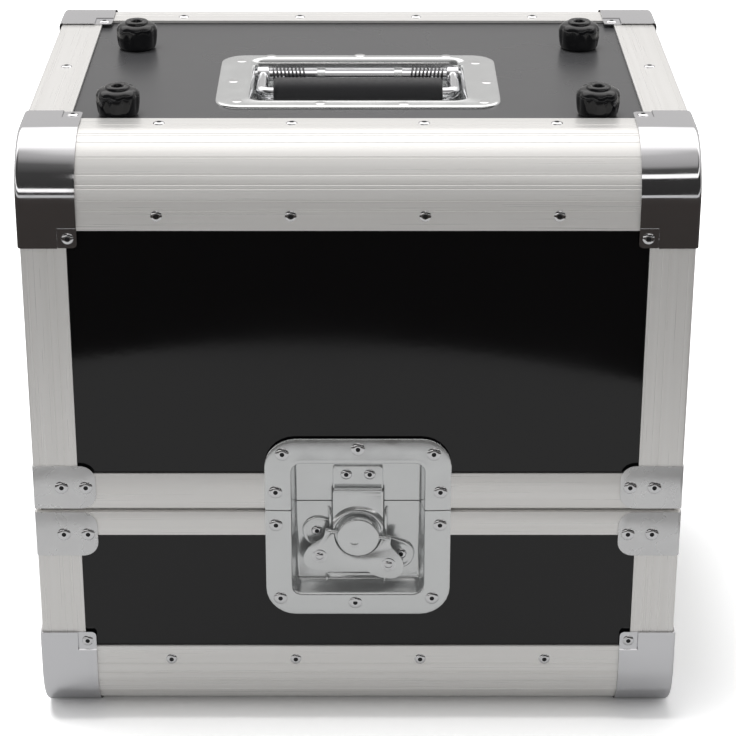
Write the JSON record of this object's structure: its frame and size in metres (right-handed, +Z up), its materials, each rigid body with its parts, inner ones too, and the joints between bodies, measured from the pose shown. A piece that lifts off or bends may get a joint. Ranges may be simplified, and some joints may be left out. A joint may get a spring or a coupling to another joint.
{
  "type": "record carrying case",
  "caption": "Square carrying case for records: deep hinged section on a shallow one, aluminium edges, bright corner covers, recessed latch, recessed carry handle and rubber feet.",
  "frame": {"origin": "middle of the outline seen from above, on the floor plane under the lower corner covers", "axes": "+X to the right seen from the front, +Y from the latch side to the hinge side, +Z up"},
  "size_m": [0.364, 0.2943, 0.3656],
  "materials": {
    "satin_aluminium": "satin extruded, brushed lengthwise",
    "bright_chrome": "bright plated",
    "zinc_plate": "bright zinc plated steel",
    "black_laminate": "plywood faced with smooth black laminate",
    "black_rubber": "moulded, slightly glossy",
    "grey_foam": "fine open foam"
  },
  "bodies": {
    "base": {"left_hinge_lower_leaf": "zinc_plate", "lower_back_left_brace_corner": "satin_aluminium", "lower_back_left_corner_cover": "bright_chrome", "lower_back_left_upright": "satin_aluminium", "lower_back_right_brace_corner": "satin_aluminium", "lower_back_right_corner_cover": "bright_chrome", "lower_back_right_upright": "satin_aluminium", "lower_back_round_profile": "satin_aluminium", "lower_bottom_panel": "black_laminate", "lower_closure_rim": "satin_aluminium", "lower_foam_pad": "grey_foam", "lower_front_left_brace_corner": "satin_aluminium", "lower_front_left_corner_cover": "bright_chrome", "lower_front_left_upright": "satin_aluminium", "lower_front_right_brace_corner": "satin_aluminium", "lower_front_right_corner_cover": "bright_chrome", "lower_front_right_upright": "satin_aluminium", "lower_front_round_profile": "satin_aluminium", "lower_latch_dish": "zinc_plate", "lower_left_edge_angle": "satin_aluminium", "lower_right_edge_angle": "satin_aluminium", "lower_wall_frame": "black_laminate", "right_hinge_lower_leaf": "zinc_plate"},
    "cover": {"back_left_foot": "black_rubber", "back_right_foot": "black_rubber", "front_left_foot": "black_rubber", "front_right_foot": "black_rubber", "handle_dish": "zinc_plate", "handle_left_spring": "bright_chrome", "handle_right_spring": "bright_chrome", "latch_keeper": "zinc_plate", "left_hinge_upper_leaf": "zinc_plate", "right_hinge_upper_leaf": "zinc_plate", "upper_back_left_brace_corner": "satin_aluminium", "upper_back_left_corner_cover": "bright_chrome", "upper_back_left_upright": "satin_aluminium", "upper_back_right_brace_corner": "satin_aluminium", "upper_back_right_corner_cover": "bright_chrome", "upper_back_right_upright": "satin_aluminium", "upper_back_round_profile": "satin_aluminium", "upper_closure_rim": "satin_aluminium", "upper_foam_pad": "grey_foam", "upper_front_left_brace_corner": "satin_aluminium", "upper_front_left_corner_cover": "bright_chrome", "upper_front_left_upright": "satin_aluminium", "upper_front_right_brace_corner": "satin_aluminium", "upper_front_right_corner_cover": "bright_chrome", "upper_front_right_upright": "satin_aluminium", "upper_front_round_profile": "satin_aluminium", "upper_latch_dish": "zinc_plate", "upper_left_edge_angle": "satin_aluminium", "upper_right_edge_angle": "satin_aluminium", "upper_top_panel": "black_laminate", "upper_wall_frame": "black_laminate"},
    "handle": {"handle_bail": "bright_chrome", "handle_grip": "black_rubber"},
    "hub": {"latch_hub": "zinc_plate"},
    "wing": {"latch_wing": "zinc_plate"},
    "draw": {"latch_draw_plate": "zinc_plate"}
  },
  "joints": [
    {"name": "cover_hinge", "type": "hinge", "parent": "base", "child": "cover", "pos_m": [0, 0.1436, 0.1365], "axis": [-1, 0, 0], "range_deg": [0, 105]},
    {"name": "carry_handle", "type": "hinge", "parent": "cover", "child": "handle", "pos_m": [0, 0.0063, 0.3423], "axis": [-1, 0, 0], "range_deg": [0, 90], "stiffness_Nm_per_rad": 0.15},
    {"name": "latch_turn", "type": "hinge", "parent": "base", "child": "hub", "pos_m": [0, -0.1405, 0.1182], "axis": [0, 1, 0], "range_deg": [0, 180]},
    {"name": "wing_fold", "type": "hinge", "parent": "hub", "child": "wing", "pos_m": [0, -0.1405, 0.1182], "axis": [-0.9903, 0, 0.1392], "range_deg": [0, 90]},
    {"name": "latch_draw", "type": "slide", "parent": "base", "child": "draw", "axis": [0, 0, 1], "range_m": [0, 0.009]}
  ],
  "couplings": [
    {"joint": "latch_draw", "follows": "latch_turn", "m_per_rad": 0.002864}
  ]
}
